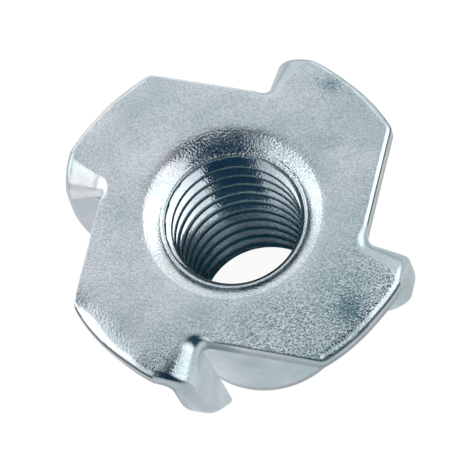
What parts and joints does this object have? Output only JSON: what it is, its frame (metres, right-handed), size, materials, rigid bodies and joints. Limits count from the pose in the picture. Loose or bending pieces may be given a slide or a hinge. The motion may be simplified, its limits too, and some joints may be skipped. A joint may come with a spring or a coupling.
{
  "type": "tee nut",
  "caption": "Pronged tee nut for wood: a round pressed flange, prongs folded down at its rim, and a drawn barrel with a metric internal thread.",
  "frame": {"origin": "centre of the barrel's lower end", "axes": "+Z along the thread axis from the barrel's lower end up to the flange, +X square through one of the flange's straight cuts"},
  "size_m": [0.0238, 0.0238, 0.0175],
  "materials": {
    "zinc_steel": "bright zinc plate over pressed steel, satin with fine speckle on the flange"
  },
  "bodies": {
    "root": {"tee_nut": "zinc_steel"}
  },
  "joints": []
}
